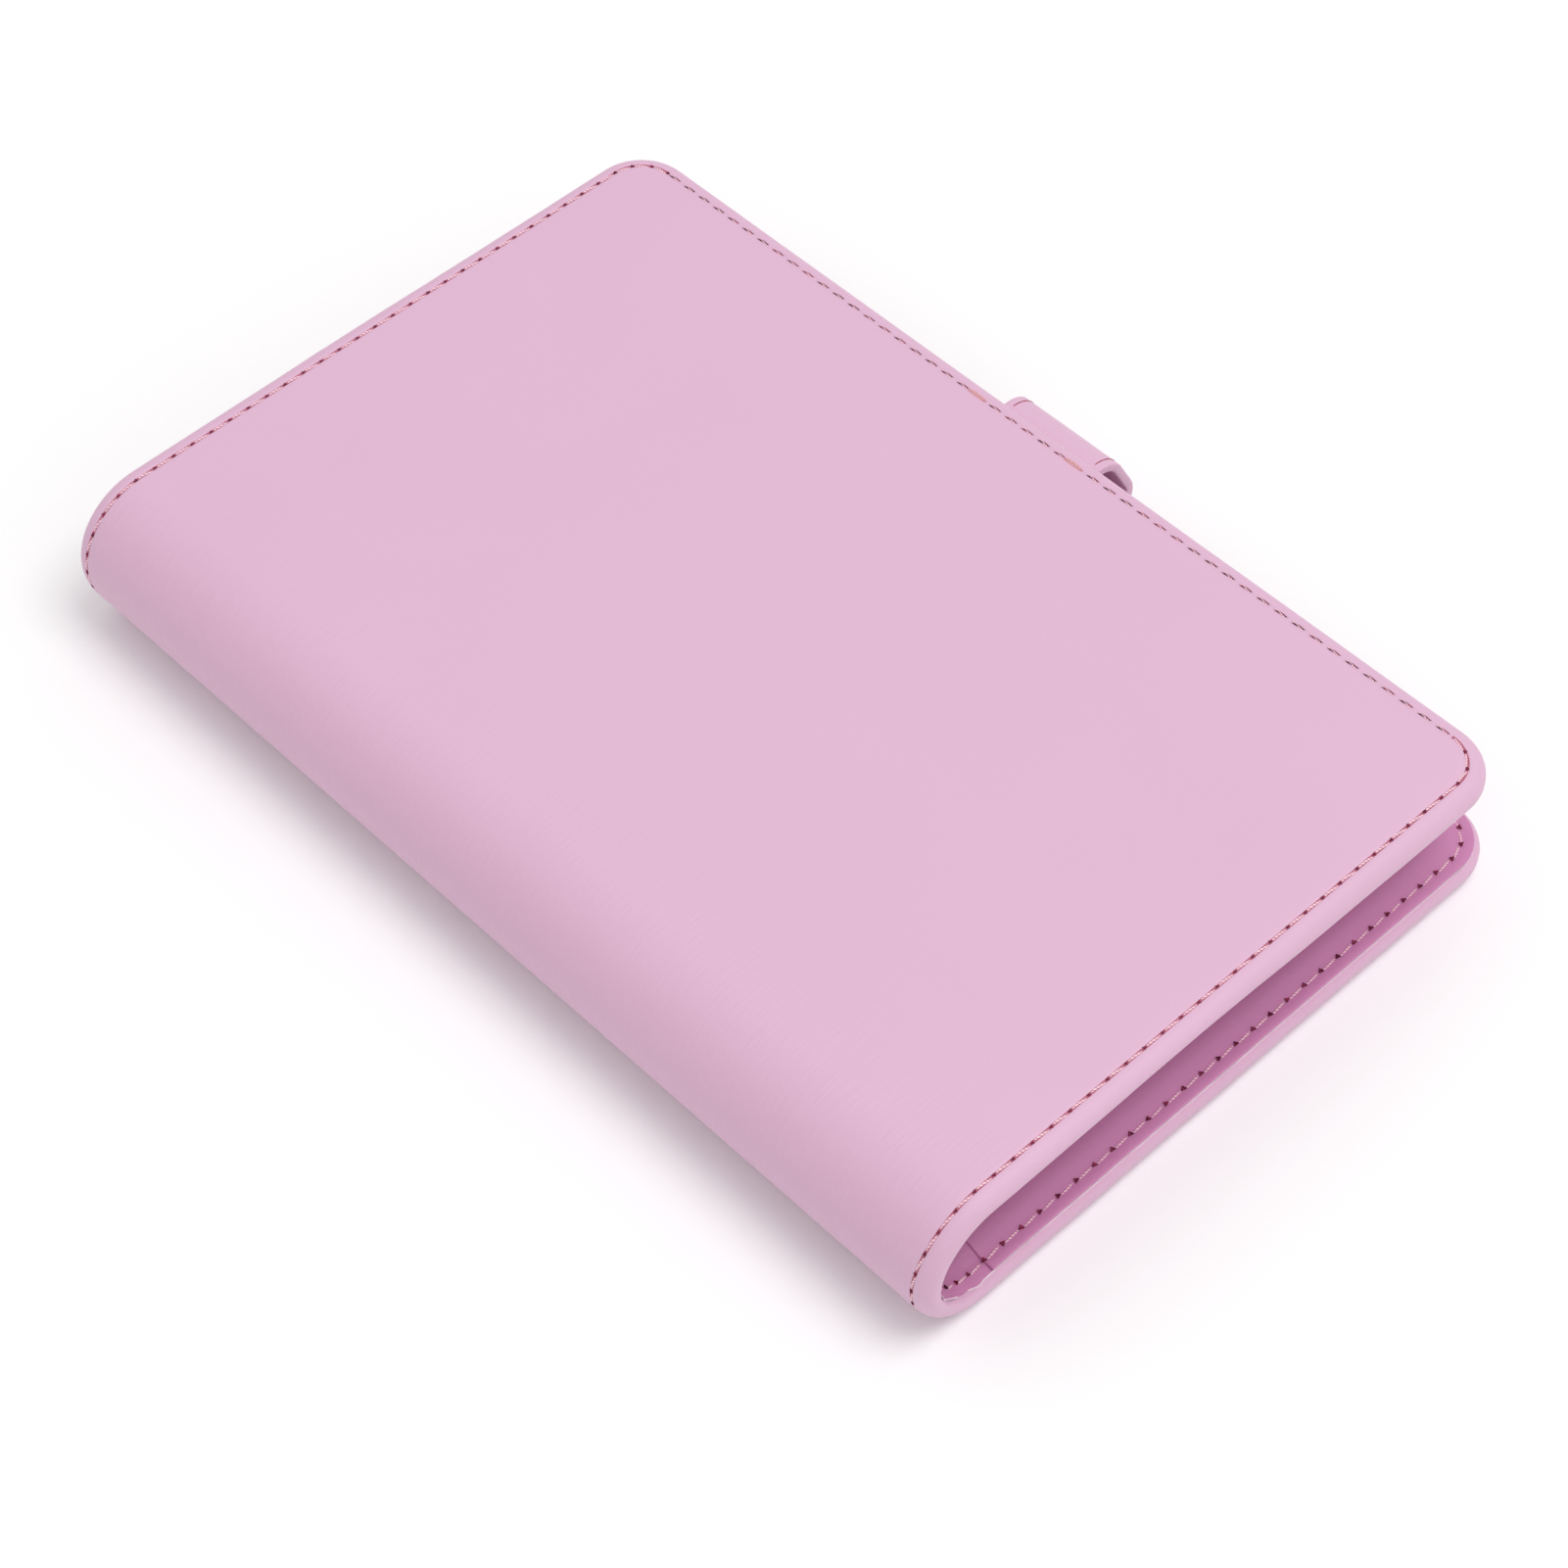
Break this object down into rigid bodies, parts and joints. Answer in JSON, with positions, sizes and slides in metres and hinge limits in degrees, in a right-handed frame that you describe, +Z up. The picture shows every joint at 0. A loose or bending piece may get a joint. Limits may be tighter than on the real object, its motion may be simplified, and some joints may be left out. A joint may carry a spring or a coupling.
{
  "type": "passport holder",
  "caption": "Folding passport holder: two padded covers on a soft rounded spine, with an inner pocket in each cover and a pen loop on the fore edge.",
  "frame": {"origin": "middle of the closed case's footprint, on the back cover's outer face", "axes": "+Y from tail to head along the spine, +X from the spine to the fore edge, +Z up through the closed case to the front cover"},
  "size_m": [0.1054, 0.15, 0.0205],
  "materials": {
    "outer_skin": "fine-grained polyurethane-coated fabric, soft satin",
    "liner": "matt coated fabric with a pale backing at the cut edge",
    "pocket": "smooth polyurethane-coated fabric, matt",
    "loop_strap": "same coated fabric as the outside, edges turned",
    "foam": "matt polyethylene foam sheet",
    "board": "matt greyboard",
    "thread": "twisted polyester sewing thread"
  },
  "bodies": {
    "back_cover": {"back_cover_outer_skin": "outer_skin", "back_cover_foam_padding": "foam", "back_cover_stiffener_board": "board", "back_cover_liner": "liner", "back_cover_passport_pocket": "pocket", "back_cover_seam_thread": "thread"},
    "spine_strip_1": {"spine_strip_1_skin": "outer_skin", "spine_strip_1_foam": "foam", "spine_strip_1_liner": "liner", "spine_strip_1_thread": "thread"},
    "spine_strip_2": {"spine_strip_2_skin": "outer_skin", "spine_strip_2_foam": "foam", "spine_strip_2_liner": "liner", "spine_strip_2_thread": "thread"},
    "spine_strip_3": {"spine_strip_3_skin": "outer_skin", "spine_strip_3_foam": "foam", "spine_strip_3_liner": "liner", "spine_strip_3_thread": "thread"},
    "spine_strip_4": {"spine_strip_4_skin": "outer_skin", "spine_strip_4_foam": "foam", "spine_strip_4_liner": "liner", "spine_strip_4_thread": "thread"},
    "spine_strip_5": {"spine_strip_5_skin": "outer_skin", "spine_strip_5_foam": "foam", "spine_strip_5_liner": "liner", "spine_strip_5_thread": "thread"},
    "front_cover": {"front_cover_outer_skin": "outer_skin", "front_cover_foam_padding": "foam", "front_cover_stiffener_board": "board", "front_cover_liner": "liner", "front_cover_passport_pocket": "pocket", "front_cover_seam_thread": "thread", "pen_loop": "loop_strap", "pen_loop_stitching": "thread", "fore_seam_bar_tacks": "thread"}
  },
  "joints": [
    {"name": "spine_fold_1", "type": "hinge", "parent": "back_cover", "child": "spine_strip_1", "pos_m": [-0.0452, 0, 0], "axis": [0, -1, 0], "range_deg": [0, 30]},
    {"name": "spine_fold_2", "type": "hinge", "parent": "spine_strip_1", "child": "spine_strip_2", "pos_m": [-0.04995, 0, 0.00275], "axis": [0, -1, 0], "range_deg": [0, 30]},
    {"name": "spine_fold_3", "type": "hinge", "parent": "spine_strip_2", "child": "spine_strip_3", "pos_m": [-0.0527, 0, 0.0075], "axis": [0, -1, 0], "range_deg": [0, 30]},
    {"name": "spine_fold_4", "type": "hinge", "parent": "spine_strip_3", "child": "spine_strip_4", "pos_m": [-0.0527, 0, 0.013], "axis": [0, -1, 0], "range_deg": [0, 30]},
    {"name": "spine_fold_5", "type": "hinge", "parent": "spine_strip_4", "child": "spine_strip_5", "pos_m": [-0.04995, 0, 0.01775], "axis": [0, -1, 0], "range_deg": [0, 30]},
    {"name": "spine_fold_6", "type": "hinge", "parent": "spine_strip_5", "child": "front_cover", "pos_m": [-0.0452, 0, 0.0205], "axis": [0, -1, 0], "range_deg": [0, 30]}
  ],
  "couplings": [
    {"joint": "spine_fold_2", "follows": "spine_fold_1", "ratio": 1},
    {"joint": "spine_fold_3", "follows": "spine_fold_1", "ratio": 1},
    {"joint": "spine_fold_4", "follows": "spine_fold_1", "ratio": 1},
    {"joint": "spine_fold_5", "follows": "spine_fold_1", "ratio": 1},
    {"joint": "spine_fold_6", "follows": "spine_fold_1", "ratio": 1}
  ]
}
